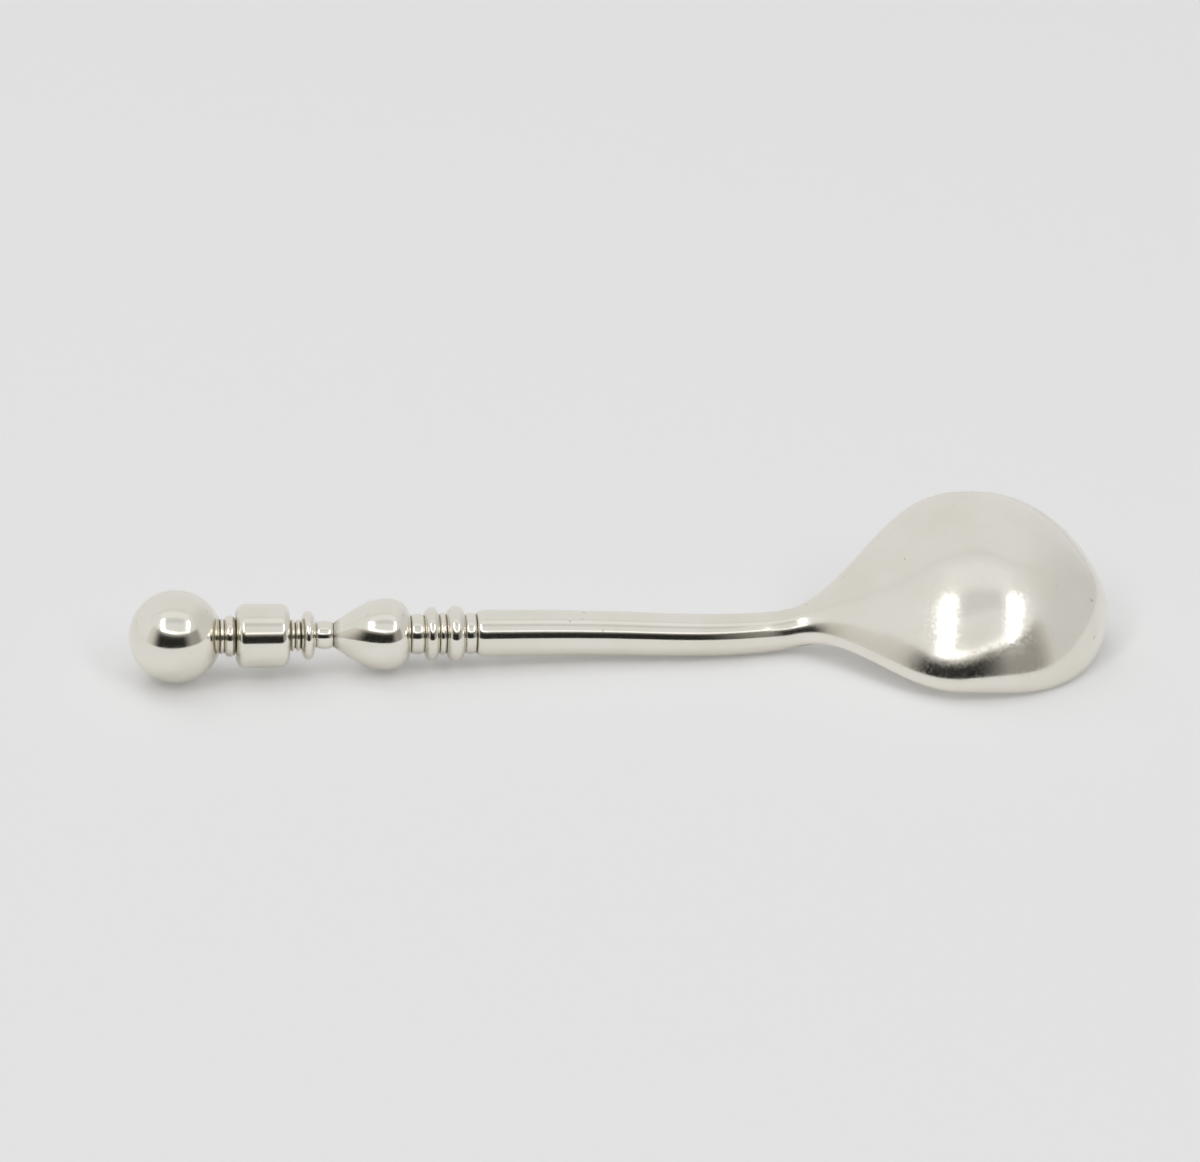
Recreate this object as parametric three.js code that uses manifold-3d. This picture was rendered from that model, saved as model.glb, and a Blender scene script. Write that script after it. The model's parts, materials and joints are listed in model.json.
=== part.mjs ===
// A small silver condiment spoon, laid face down on a table as it comes to rest.
// Millimetres, +Z up. The stem runs along X, with the ball towards -X and the bowl towards +X.
// The ball, the rings and the knops are turned beads threaded on the stem's tang and soldered.
// The bowl is dished from sheet and its neck is soldered to the stem's other end.
import * as THREE from 'three';
import { mergeVertices } from 'three/addons/utils/BufferGeometryUtils.js';
import Module from 'manifold-3d';

// Turned beads, from the free end inwards
const BALL_DIAMETER = 7.2;
const BALL_SEAT_DIAMETER = 2.7;
const BALL_RING_LENGTH = 0.3;
const BALL_RING_DIAMETER = 2.8;
const BALL_NECK_LENGTH = 0.85;
const BALL_NECK_DIAMETER = 3.2;
const BARREL_LENGTH = 4.1;
const BARREL_DIAMETER = 4.95;
const BARREL_CORNER = 0.7;
const BARREL_RING_LENGTH = 0.8;
const BARREL_RING_DIAMETER = 2.5;
const DISC_LENGTH = 1.1;
const DISC_DIAMETER = 3.8;
const PEAR_NECK_LENGTH = 1.3;
const PEAR_NECK_DIAMETER = 2.2;
const PEAR_TIP_DIAMETER = 1.85;
const PEAR_SWELL_LENGTH = 4.15;
const PEAR_DIAMETER = 5.6;
const PEAR_BUTT_LENGTH = 1.8;
const PEAR_SEAT_DIAMETER = 2.6;
const PEAR_RING_LENGTH = 1.0;
const PEAR_RING_DIAMETER = 3.15;
const UPPER_RING_LENGTH = 1.1;
const UPPER_RING_DIAMETER = 4.15;
const SPACER_RING_LENGTH = 0.5;
const SPACER_RING_DIAMETER = 3.3;
const LOWER_RING_LENGTH = 1.4;
const LOWER_RING_DIAMETER = 4.3;
const COLLAR_LENGTH = 0.85;
const COLLAR_DIAMETER = 3.2;
const WAIST_DIAMETER = 2.4;
const SLIM_WAIST_DIAMETER = 1.75;

// Stem, its tang and the soldered seams
const STEM_LENGTH = 22.3;
const STEM_SHOULDER_LENGTH = 0.9;
const STEM_SHOULDER_DIAMETER = 3.1;
const STEM_TOP_DIAMETER = 3.66;
const STEM_END_DIAMETER = 3.2;
const TANG_DIAMETER = 1.0;
const TANG_CLEARANCE = 0.05;
const SOLDER_GAP = 0.05;

// Bowl, measured along the stem's line from where the neck begins to flare
const NECK_LENGTH = 2.0;
const FLARE_LENGTH = 14.62;
const TIP_LENGTH = 10.21;
const BOWL_WIDTH = 17.88;
const CROWN_AT = 16.1;
const BOWL_DEPTH = 4.33;
const RIM_ARCH = 4.03;
const TIP_LIFT = 2.1;
const BOWL_WALL = 0.9;
const KEEL_END_AT = 3.4;
const THROAT_AT = 4.6;
const THROAT_ROUND = 4.5;
const MOUTH_OVERCUT = 1.0;

// Fullness of the bowl's curves, as powers, and the share its flanks drop under a full curve
const FLARE_START_POWER = 2.08;
const FLARE_END_POWER = 3.87;
const TIP_RUN_POWER = 2.3;
const TIP_FALL_POWER = 0.56;
const CROWN_START_POWER = 0.78;
const CROWN_RISE_POWER = 4.26;
const CROWN_RUN_POWER = 3.6;
const CROWN_FALL_POWER = 0.4;
const ROUND_SECTION_POWER = 0.5;
const BOWL_SECTION_POWER = 0.44;
const FLANK_DROP = 0.22;

// Facets
const BEAD_SIDES = 16;
const KNOP_SIDES = 24;
const BEAD_STEPS = 6;
const KNOP_STEPS = 7;
const BALL_STEPS = 14;
const NECK_STATIONS = 3;
const FLARE_STATIONS = 11;
const TIP_STATIONS = 12;
const HOLLOW_STATIONS = 9;
const ARC_STEPS = 18;
const KEEL_STEPS = 8;

// How the resting roll is found
const RIM_SAMPLES = 200;
const ROLL_HALVINGS = 40;
const LARGEST_ROLL = Math.PI / 3;

const wasm = await Module();
wasm.setup();

const ballRadius = BALL_DIAMETER / 2;
const boreRadius = TANG_DIAMETER / 2 + TANG_CLEARANCE;
const stemEndRadius = STEM_END_DIAMETER / 2;
const bowlLength = FLARE_LENGTH + TIP_LENGTH;
const pearLength = PEAR_SWELL_LENGTH + PEAR_BUTT_LENGTH;

// Points of a turned profile are (radius, place along the axis).
function point(radius, along) {
  return new THREE.Vector2(radius, along);
}

// A bored bead whose rounded edge swells from the waist to the full diameter.
function beadProfile(length, diameter, waistDiameter) {
  const waist = waistDiameter / 2;
  const swell = diameter / 2 - waist;
  const profile = [point(boreRadius, 0)];
  for (let step = 0; step <= BEAD_STEPS; step += 1) {
    const angle = Math.PI * step / BEAD_STEPS;
    const along = length * (1 - Math.cos(angle)) / 2;
    profile.push(point(waist + swell * Math.sin(angle), along));
  }
  profile.push(point(boreRadius, length), point(boreRadius, 0));
  return profile;
}

// The barrel is a bored cylinder with flat ends and rounded corners.
function barrelProfile() {
  const flat = BARREL_DIAMETER / 2 - BARREL_CORNER;
  const profile = [point(boreRadius, 0)];
  for (let step = 0; step <= BEAD_STEPS; step += 1) {
    const angle = Math.PI / 2 * step / BEAD_STEPS;
    const along = BARREL_CORNER * (1 - Math.cos(angle));
    profile.push(point(flat + BARREL_CORNER * Math.sin(angle), along));
  }
  for (let step = BEAD_STEPS; step >= 0; step -= 1) {
    const angle = Math.PI / 2 * step / BEAD_STEPS;
    const along = BARREL_LENGTH - BARREL_CORNER * (1 - Math.cos(angle));
    profile.push(point(flat + BARREL_CORNER * Math.sin(angle), along));
  }
  profile.push(point(boreRadius, BARREL_LENGTH), point(boreRadius, 0));
  return profile;
}

// The pear swells from its thin end by a sine and closes with a quarter of an ellipse.
function pearProfile() {
  const tip = PEAR_TIP_DIAMETER / 2;
  const widest = PEAR_DIAMETER / 2;
  const seat = PEAR_SEAT_DIAMETER / 2;
  const profile = [point(boreRadius, 0)];
  for (let step = 0; step < KNOP_STEPS; step += 1) {
    const share = step / KNOP_STEPS;
    const radius = tip + (widest - tip) * Math.sin(Math.PI / 2 * share);
    profile.push(point(radius, PEAR_SWELL_LENGTH * share));
  }
  for (let step = 0; step <= KNOP_STEPS; step += 1) {
    const angle = Math.PI / 2 * step / KNOP_STEPS;
    const along = PEAR_SWELL_LENGTH + PEAR_BUTT_LENGTH * Math.sin(angle);
    profile.push(point(seat + (widest - seat) * Math.cos(angle), along));
  }
  profile.push(point(boreRadius, pearLength), point(boreRadius, 0));
  return profile;
}

// The ball is measured from its centre and bored right through for the tang.
const ballSeatAt = Math.sqrt(ballRadius ** 2 - (BALL_SEAT_DIAMETER / 2) ** 2);
const ballPoleAt = -Math.sqrt(ballRadius ** 2 - boreRadius ** 2);
function ballProfile() {
  const first = Math.atan2(boreRadius, ballPoleAt);
  const last = Math.atan2(BALL_SEAT_DIAMETER / 2, ballSeatAt);
  const profile = [];
  for (let step = 0; step <= BALL_STEPS; step += 1) {
    const angle = first + (last - first) * step / BALL_STEPS;
    profile.push(point(ballRadius * Math.sin(angle), ballRadius * Math.cos(angle)));
  }
  profile.push(point(boreRadius, ballSeatAt), profile[0].clone());
  return profile;
}

// The stem is measured from its shoulder. It tapers to the bowl, and its tang carries the beads.
function stemProfile(tangLength) {
  const tang = TANG_DIAMETER / 2;
  const shoulder = STEM_SHOULDER_DIAMETER / 2;
  const rise = STEM_TOP_DIAMETER / 2 - shoulder;
  const profile = [point(0, -tangLength), point(tang, -tangLength), point(tang, 0)];
  for (let step = 0; step <= BEAD_STEPS; step += 1) {
    const angle = Math.PI / 2 * step / BEAD_STEPS;
    const along = STEM_SHOULDER_LENGTH * (1 - Math.cos(angle));
    profile.push(point(shoulder + rise * Math.sin(angle), along));
  }
  profile.push(point(stemEndRadius, STEM_LENGTH), point(0, STEM_LENGTH));
  return profile;
}

// Half the bowl's width, at a place along the bowl.
function halfWidthAt(along) {
  if (along <= FLARE_LENGTH) {
    const share = Math.max(along, 0) / FLARE_LENGTH;
    const rise = 1 - (1 - share ** FLARE_START_POWER) ** FLARE_END_POWER;
    return stemEndRadius + (BOWL_WIDTH / 2 - stemEndRadius) * rise;
  }
  const run = (along - FLARE_LENGTH) / TIP_LENGTH;
  return BOWL_WIDTH / 2 * Math.max(1 - run ** TIP_RUN_POWER, 0) ** TIP_FALL_POWER;
}

// Height of the bowl's back over its rim.
function crownHeightAt(along) {
  if (along <= CROWN_AT) {
    const share = Math.max(along, 0) / CROWN_AT;
    const rise = Math.sin(Math.PI / 2 * share ** CROWN_START_POWER) ** CROWN_RISE_POWER;
    return stemEndRadius + (BOWL_DEPTH - stemEndRadius) * rise;
  }
  const run = (along - CROWN_AT) / (bowlLength - CROWN_AT);
  return BOWL_DEPTH * Math.max(1 - run ** CROWN_RUN_POWER, 0) ** CROWN_FALL_POWER;
}

// The rim arches at the sides, as the edge of a dished sheet does, and lifts towards the tip.
function rimHeightAt(along) {
  const share = Math.max(along, 0) / bowlLength;
  return RIM_ARCH * Math.sin(Math.PI * share) + TIP_LIFT * share;
}

// Depth of the neck's round underside below the rim. It runs out before the hollow begins.
function keelDepthAt(along) {
  return stemEndRadius * (1 - THREE.MathUtils.smoothstep(along, -NECK_LENGTH, KEEL_END_AT));
}

// A section over the bowl from its near rim to its far one, with its points closest at the rims.
function sectionArc(along, halfWidth, crownHeight) {
  const blend = THREE.MathUtils.smoothstep(along, 0, FLARE_LENGTH);
  const power = THREE.MathUtils.lerp(ROUND_SECTION_POWER, BOWL_SECTION_POWER, blend);
  const arc = [];
  for (let step = 0; step <= ARC_STEPS; step += 1) {
    const across = -Math.cos(Math.PI * step / ARC_STEPS);
    const fullness = 1 - FLANK_DROP * blend * across * across;
    const height = crownHeight * fullness * Math.max(1 - across * across, 0) ** power;
    arc.push(new THREE.Vector3(along, halfWidth * across, rimHeightAt(along) + height));
  }
  return arc;
}

// A closed solid through rings with equal numbers of points, closed by a fan from a hub at each end.
function loft(rings, firstHub, lastHub) {
  const count = rings[0].length;
  const corners = [...rings.flat(), firstHub, lastHub];
  const firstHubIndex = corners.length - 2;
  const lastHubIndex = corners.length - 1;
  const lastRing = (rings.length - 1) * count;
  const index = [];
  for (let column = 0; column < count; column += 1) {
    const next = (column + 1) % count;
    for (let row = 0; row < lastRing; row += count) {
      const a = row + column;
      const b = row + next;
      index.push(a, a + count, b, b, a + count, b + count);
    }
    index.push(firstHubIndex, column, next);
    index.push(lastHubIndex, lastRing + next, lastRing + column);
  }
  const geometry = new THREE.BufferGeometry();
  geometry.setFromPoints(corners);
  geometry.setIndex(index);
  return geometry;
}

// The outside of the bowl with its neck, as a solid down to the rim.
function bowlOutside() {
  const places = [];
  for (let station = 0; station < NECK_STATIONS; station += 1) {
    places.push(NECK_LENGTH * (station / NECK_STATIONS - 1));
  }
  for (let station = 0; station < FLARE_STATIONS; station += 1) {
    places.push(FLARE_LENGTH * station / FLARE_STATIONS);
  }
  for (let station = 0; station < TIP_STATIONS; station += 1) {
    places.push(FLARE_LENGTH + TIP_LENGTH * Math.sin(Math.PI / 2 * station / TIP_STATIONS));
  }
  const rings = places.map((along) => {
    const halfWidth = halfWidthAt(along);
    const ring = sectionArc(along, halfWidth, crownHeightAt(along));
    for (let step = KEEL_STEPS - 1; step > 0; step -= 1) {
      const angle = Math.PI * step / KEEL_STEPS;
      const under = rimHeightAt(along) - keelDepthAt(along) * Math.sin(angle);
      ring.push(new THREE.Vector3(along, -halfWidth * Math.cos(angle), under));
    }
    return ring;
  });
  const start = new THREE.Vector3(-NECK_LENGTH, 0, 0);
  const tip = new THREE.Vector3(bowlLength, 0, rimHeightAt(bowlLength));
  return loft(rings, start, tip);
}

// The hollow of the bowl, a wall's thickness inside and open through the rim.
function bowlHollow() {
  const tipShare = (1 - (BOWL_WALL / (BOWL_WIDTH / 2)) ** (1 / TIP_FALL_POWER)) ** (1 / TIP_RUN_POWER);
  const hollowTip = FLARE_LENGTH + TIP_LENGTH * tipShare - BOWL_WALL;
  const places = [];
  for (let station = 1; station < HOLLOW_STATIONS; station += 1) {
    const eased = 1 - Math.cos(Math.PI / 2 * station / HOLLOW_STATIONS);
    places.push(THROAT_AT + (FLARE_LENGTH - THROAT_AT) * eased);
  }
  for (let station = 0; station < TIP_STATIONS; station += 1) {
    const eased = Math.sin(Math.PI / 2 * station / TIP_STATIONS);
    places.push(FLARE_LENGTH + (hollowTip - FLARE_LENGTH) * eased);
  }
  const stretch = TIP_LENGTH * tipShare / (hollowTip - FLARE_LENGTH);
  const rings = places.map((along) => {
    const outside = along > FLARE_LENGTH ? FLARE_LENGTH + (along - FLARE_LENGTH) * stretch : along;
    const left = Math.max(1 - (along - THROAT_AT) / THROAT_ROUND, 0);
    const throat = Math.sqrt(1 - left * left);
    const halfWidth = throat * (halfWidthAt(outside) - BOWL_WALL);
    const crownHeight = throat * Math.max(crownHeightAt(outside) - BOWL_WALL, 0);
    const ring = sectionArc(along, halfWidth, crownHeight);
    const mouth = rimHeightAt(along) - MOUTH_OVERCUT;
    ring.push(new THREE.Vector3(along, halfWidth, mouth));
    ring.push(new THREE.Vector3(along, -halfWidth, mouth));
    return ring;
  });
  const start = new THREE.Vector3(THROAT_AT, 0, rimHeightAt(THROAT_AT));
  const tip = new THREE.Vector3(hollowTip, 0, rimHeightAt(hollowTip));
  return loft(rings, start, tip);
}

function toSolid(geometry) {
  const merged = mergeVertices(geometry);
  return new wasm.Manifold(new wasm.Mesh({
    numProp: 3,
    vertProperties: new Float32Array(merged.attributes.position.array),
    triVerts: new Uint32Array(merged.index.array),
  }));
}

function toGeometry(solid) {
  const mesh = solid.getMesh();
  const geometry = new THREE.BufferGeometry();
  geometry.setAttribute('position', new THREE.BufferAttribute(mesh.vertProperties, 3));
  geometry.setIndex(new THREE.BufferAttribute(mesh.triVerts, 1));
  geometry.computeVertexNormals();
  return geometry;
}

// The spoon before it is laid down has the stem's line along X and the ball's centre at 0.
const spoon = new THREE.Group();
function addPiece(name, geometry, startsAt, shade, roughness) {
  const material = new THREE.MeshStandardMaterial({ color: shade, metalness: 1, roughness });
  const mesh = new THREE.Mesh(geometry, material);
  mesh.name = name;
  mesh.position.x = startsAt;
  spoon.add(mesh);
  return mesh;
}

// A turned shape is made about Y and laid over along X.
function addTurned(name, profile, sides, startsAt, shade, roughness) {
  const mesh = addPiece(name, new THREE.LatheGeometry(profile, sides), startsAt, shade, roughness);
  mesh.rotation.z = -Math.PI / 2;
}

// Each bead starts one soldered seam after the piece before it ends.
let reached = ballSeatAt;
function addBead(name, profile, length, sides, shade, roughness) {
  const startsAt = reached + SOLDER_GAP;
  addTurned(name, profile, sides, startsAt, shade, roughness);
  reached = startsAt + length;
}

function addRing(name, length, diameter, waistDiameter) {
  const profile = beadProfile(length, diameter, waistDiameter);
  addBead(name, profile, length, BEAD_SIDES, 0xd8d4c8, 0.2);
}

addTurned('ball_finial', ballProfile(), KNOP_SIDES, 0, 0xe4e2da, 0.12);
addRing('ball_ring', BALL_RING_LENGTH, BALL_RING_DIAMETER, WAIST_DIAMETER);
addRing('ball_neck_bead', BALL_NECK_LENGTH, BALL_NECK_DIAMETER, WAIST_DIAMETER);
addBead('barrel_knop', barrelProfile(), BARREL_LENGTH, KNOP_SIDES, 0xe2e0d8, 0.14);
addRing('barrel_ring', BARREL_RING_LENGTH, BARREL_RING_DIAMETER, SLIM_WAIST_DIAMETER);
addRing('disc_knop', DISC_LENGTH, DISC_DIAMETER, SLIM_WAIST_DIAMETER);
addRing('pear_neck_bead', PEAR_NECK_LENGTH, PEAR_NECK_DIAMETER, SLIM_WAIST_DIAMETER);
addBead('pear_knop', pearProfile(), pearLength, KNOP_SIDES, 0xe2e0d8, 0.14);
addRing('pear_ring', PEAR_RING_LENGTH, PEAR_RING_DIAMETER, WAIST_DIAMETER);
addRing('upper_ring', UPPER_RING_LENGTH, UPPER_RING_DIAMETER, WAIST_DIAMETER);
addRing('spacer_ring', SPACER_RING_LENGTH, SPACER_RING_DIAMETER, WAIST_DIAMETER);
addRing('lower_ring', LOWER_RING_LENGTH, LOWER_RING_DIAMETER, WAIST_DIAMETER);
addRing('stem_collar', COLLAR_LENGTH, COLLAR_DIAMETER, WAIST_DIAMETER);

const shoulderAt = reached + SOLDER_GAP;
const stemEndAt = shoulderAt + STEM_LENGTH;
addTurned('stem', stemProfile(shoulderAt - ballPoleAt), KNOP_SIDES, shoulderAt, 0xe3e1d9, 0.12);

const flareAt = stemEndAt + SOLDER_GAP + NECK_LENGTH;
const bowl = toSolid(bowlOutside()).subtract(toSolid(bowlHollow()));
addPiece('bowl', toGeometry(bowl), flareAt, 0xe0ded6, 0.16);

// The spoon lies on its ball and on the stem's end, and has rolled over onto its near rim.
const pitch = Math.asin((ballRadius - stemEndRadius) / stemEndAt);
function lowestRimHeight(roll) {
  let lowest = Infinity;
  for (let sample = 0; sample <= RIM_SAMPLES; sample += 1) {
    const along = bowlLength * sample / RIM_SAMPLES;
    const rolled = rimHeightAt(along) * Math.cos(roll) - halfWidthAt(along) * Math.sin(roll);
    const height = ballRadius + rolled * Math.cos(pitch) - (flareAt + along) * Math.sin(pitch);
    lowest = Math.min(lowest, height);
  }
  return lowest;
}

let clearRoll = 0;
let touchingRoll = LARGEST_ROLL;
for (let halving = 0; halving < ROLL_HALVINGS; halving += 1) {
  const roll = (clearRoll + touchingRoll) / 2;
  if (lowestRimHeight(roll) > 0) clearRoll = roll;
  else touchingRoll = roll;
}
spoon.rotation.x = clearRoll;

// Laid on the table, with the origin under the middle of its outer size.
const laidSpoon = new THREE.Group();
laidSpoon.name = 'condiment_spoon';
laidSpoon.rotation.y = pitch;
laidSpoon.add(spoon);
const extent = new THREE.Box3().setFromObject(laidSpoon, true);
const middle = extent.getCenter(new THREE.Vector3());
laidSpoon.position.set(-middle.x, -middle.y, -extent.min.z);

export default laidSpoon;
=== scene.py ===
import json
import math

import bmesh
import bpy
from mathutils import Matrix, Vector


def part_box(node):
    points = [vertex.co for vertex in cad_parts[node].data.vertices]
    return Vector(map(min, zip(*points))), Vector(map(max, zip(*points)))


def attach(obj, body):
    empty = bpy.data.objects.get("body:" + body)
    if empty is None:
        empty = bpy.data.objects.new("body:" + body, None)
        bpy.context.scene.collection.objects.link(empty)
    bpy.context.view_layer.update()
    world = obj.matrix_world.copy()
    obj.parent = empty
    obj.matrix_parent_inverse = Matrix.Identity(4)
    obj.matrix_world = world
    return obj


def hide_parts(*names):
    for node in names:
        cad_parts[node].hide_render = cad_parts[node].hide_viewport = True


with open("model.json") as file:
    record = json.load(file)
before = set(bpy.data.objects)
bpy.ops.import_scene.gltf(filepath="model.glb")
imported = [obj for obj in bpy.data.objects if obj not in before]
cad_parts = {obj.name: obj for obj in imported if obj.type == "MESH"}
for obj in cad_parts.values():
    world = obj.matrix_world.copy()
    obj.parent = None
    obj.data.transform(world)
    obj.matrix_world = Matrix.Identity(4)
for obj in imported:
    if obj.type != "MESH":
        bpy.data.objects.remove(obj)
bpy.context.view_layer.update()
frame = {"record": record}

# Ball finial.
# A solid turned ball of polished silver at the free end of the handle. It is bored through,
# and the end of the stem's tang is filed level with it.
MM = 0.001
BALL_RADIUS = 3.6 * MM
BALL_SEAT_RADIUS = 1.35 * MM
TANG_RADIUS = 0.5 * MM
TANG_SEAT_DEPTH = 0.05 * MM
TURNED_SIDES = 128
BALL_STEPS = 72
BALL_TARNISH_ANGLE = 0.14
WELD_DISTANCE = 0.0005 * MM
SLIVER_LENGTH = 0.0002 * MM
CREASE_ANGLE = math.radians(50)

finial_end = next(m for m in frame["record"]["mounts"] if m["name"] == "finial_end")
tang_end = Vector(finial_end["pos_m"])
stem_line = -Vector(finial_end["axis"]).normalized()
across_line = Vector((0, 1, 0))
upper_line = stem_line.cross(across_line)
ball_pole_at = -math.sqrt(BALL_RADIUS ** 2 - TANG_RADIUS ** 2)
ball_centre = tang_end - stem_line * ball_pole_at
spoon_lie = Matrix((stem_line, across_line, upper_line)).transposed().to_4x4()
spoon_lie.translation = ball_centre


def along_stem(node):
    """Place of the middle of a node's box, along the stem from the ball's centre."""
    low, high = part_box(node)
    return ((Vector(low) + Vector(high)) / 2 - ball_centre).dot(stem_line)


def silver_piece(name, vertices, faces, wear, turn=None):
    """A smooth mesh laid in the spoon's place, with the wear of its points kept as an attribute."""
    mesh = bpy.data.meshes.new(name)
    mesh.from_pydata(vertices, [], faces)
    mesh.attributes.new("groove", "FLOAT", "POINT").data.foreach_set("value", wear)
    shape = bmesh.new()
    shape.from_mesh(mesh)
    bmesh.ops.remove_doubles(shape, verts=shape.verts, dist=WELD_DISTANCE)
    bmesh.ops.dissolve_degenerate(shape, edges=shape.edges, dist=SLIVER_LENGTH)
    bmesh.ops.recalc_face_normals(shape, faces=shape.faces)
    shape.to_mesh(mesh)
    shape.free()
    mesh.transform(spoon_lie @ turn if turn else spoon_lie)
    mesh.shade_smooth()
    mesh.set_sharp_from_angle(angle=CREASE_ANGLE)
    piece = bpy.data.objects.new(name, mesh)
    bpy.context.scene.collection.objects.link(piece)
    return piece


def turned_piece(name, profile):
    """Turns a profile of (place along the stem, radius, groove) points about the stem's line."""
    vertices, faces, wear = [], [], []
    for side in range(TURNED_SIDES):
        angle = 2 * math.pi * side / TURNED_SIDES
        for along, radius, groove in profile:
            vertices.append((along, radius * math.cos(angle), radius * math.sin(angle)))
            wear.append(groove)
    count = len(profile)
    for side in range(TURNED_SIDES):
        here, there = side * count, (side + 1) % TURNED_SIDES * count
        for step in range(count - 1):
            faces.append((here + step, here + step + 1, there + step + 1, there + step))
    return silver_piece(name, vertices, faces, wear)


# Marks on the silver: patches to the metre, where their noise starts and ends, and what they do.
TARNISH_PATCHES, TARNISH_EDGE, TARNISH_SHOWN = 900, (0.3, 0.65), (0.6, 1.0)
SPECK_PATCHES, SPECK_EDGE, SPECK_SHOWN = 1400, (0.735, 0.775), (0.0, 0.55)
FILM_PATCHES, FILM_EDGE, FILM_DIMMING = 260, (0.4, 0.7), (0.96, 0.96, 0.93)
RUBBED_EDGE, LEAST_RUBBED, MOST_RUBBED = (0.35, 0.75), 0.7, 1.5
TARNISH_DULLNESS = 0.25
DENT_PATCHES = 320
SCRATCH_STRENGTH, SCRATCH_HEIGHT, SCRATCH_STRETCH = 0.06, 0.004 * MM, (0.15, 1, 1)


def silver(name, colour, tarnish, roughness, scratch_patches, dent_height):
    """Polished silver with fine scratches, soft dents, and tarnish where the groove value is high."""
    material = bpy.data.materials.new(name)
    material.use_nodes = True
    nodes, links = material.node_tree.nodes, material.node_tree.links
    shader = nodes["Principled BSDF"]
    shader.inputs["Metallic"].default_value = 1.0
    place = nodes.new("ShaderNodeTexCoord")

    def noise(patches, detail, stretch=(1, 1, 1)):
        mapping = nodes.new("ShaderNodeMapping")
        mapping.inputs["Scale"].default_value = stretch
        links.new(place.outputs["Object"], mapping.inputs["Vector"])
        texture = nodes.new("ShaderNodeTexNoise")
        texture.inputs["Scale"].default_value = patches
        texture.inputs["Detail"].default_value = detail
        links.new(mapping.outputs["Vector"], texture.inputs["Vector"])
        return texture.outputs["Fac"]

    def ranged(value, old_range, new_range):
        change = nodes.new("ShaderNodeMapRange")
        for end, old, new in zip(("Min", "Max"), old_range, new_range):
            change.inputs["From " + end].default_value = old
            change.inputs["To " + end].default_value = new
        links.new(value, change.inputs["Value"])
        return change.outputs["Result"]

    groove = nodes.new("ShaderNodeAttribute")
    groove.attribute_name = "groove"
    cloud = ranged(noise(TARNISH_PATCHES, detail=4), TARNISH_EDGE, TARNISH_SHOWN)
    stain = nodes.new("ShaderNodeMath")
    stain.operation = "MULTIPLY"
    links.new(groove.outputs["Fac"], stain.inputs[0])
    links.new(cloud, stain.inputs[1])
    specks = ranged(noise(SPECK_PATCHES, detail=2), SPECK_EDGE, SPECK_SHOWN)
    marked = nodes.new("ShaderNodeMath")
    marked.operation = "MAXIMUM"
    links.new(stain.outputs["Value"], marked.inputs[0])
    links.new(specks, marked.inputs[1])

    film = nodes.new("ShaderNodeMix")
    film.data_type = "RGBA"
    film.inputs["A"].default_value = (*colour, 1)
    film.inputs["B"].default_value = (*(c * dim for c, dim in zip(colour, FILM_DIMMING)), 1)
    links.new(ranged(noise(FILM_PATCHES, detail=3), FILM_EDGE, (0, 1)), film.inputs["Factor"])
    tint = nodes.new("ShaderNodeMix")
    tint.data_type = "RGBA"
    tint.inputs["B"].default_value = (*tarnish, 1)
    links.new(film.outputs["Result"], tint.inputs["A"])
    links.new(marked.outputs["Value"], tint.inputs["Factor"])
    links.new(tint.outputs["Result"], shader.inputs["Base Color"])

    rubbed = ranged(noise(scratch_patches, detail=6), RUBBED_EDGE,
                    (LEAST_RUBBED * roughness, MOST_RUBBED * roughness))
    dull = nodes.new("ShaderNodeMath")
    dull.operation = "MULTIPLY_ADD"
    dull.inputs[1].default_value = TARNISH_DULLNESS
    links.new(marked.outputs["Value"], dull.inputs[0])
    links.new(rubbed, dull.inputs[2])
    links.new(dull.outputs["Value"], shader.inputs["Roughness"])

    dents = nodes.new("ShaderNodeBump")
    dents.inputs["Strength"].default_value = 1.0
    dents.inputs["Distance"].default_value = dent_height
    links.new(noise(DENT_PATCHES, detail=2), dents.inputs["Height"])
    scratches = nodes.new("ShaderNodeBump")
    scratches.inputs["Strength"].default_value = SCRATCH_STRENGTH
    scratches.inputs["Distance"].default_value = SCRATCH_HEIGHT
    fine_noise = noise(scratch_patches, detail=8, stretch=SCRATCH_STRETCH)
    links.new(fine_noise, scratches.inputs["Height"])
    links.new(dents.outputs["Normal"], scratches.inputs["Normal"])
    links.new(scratches.outputs["Normal"], shader.inputs["Normal"])
    return material


SILVER = (0.88, 0.852, 0.78)
TARNISH = (0.42, 0.38, 0.30)
knop_silver = silver("knop silver", SILVER, TARNISH,
                     roughness=0.11, scratch_patches=6000, dent_height=0.008 * MM)

# The ball stops a little inside the tang's end, so that only the tang shows there.
tang_seat_at = ball_pole_at + TANG_SEAT_DEPTH
ball_profile = [(tang_seat_at, 0, 0), (tang_seat_at, TANG_RADIUS, 0)]
first_angle = math.pi - math.asin(TANG_RADIUS / BALL_RADIUS)
last_angle = math.asin(BALL_SEAT_RADIUS / BALL_RADIUS)
for step in range(BALL_STEPS + 1):
    angle = first_angle + (last_angle - first_angle) * step / BALL_STEPS
    groove = max(0, 1 - (angle - last_angle) / BALL_TARNISH_ANGLE)
    ball_profile.append((BALL_RADIUS * math.cos(angle), BALL_RADIUS * math.sin(angle), groove))
ball_profile.append((BALL_RADIUS * math.cos(last_angle), 0, 1))
ball = turned_piece("ball", ball_profile)
ball.data.materials.append(knop_silver)
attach(ball, "root")
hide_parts("ball_finial")

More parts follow.
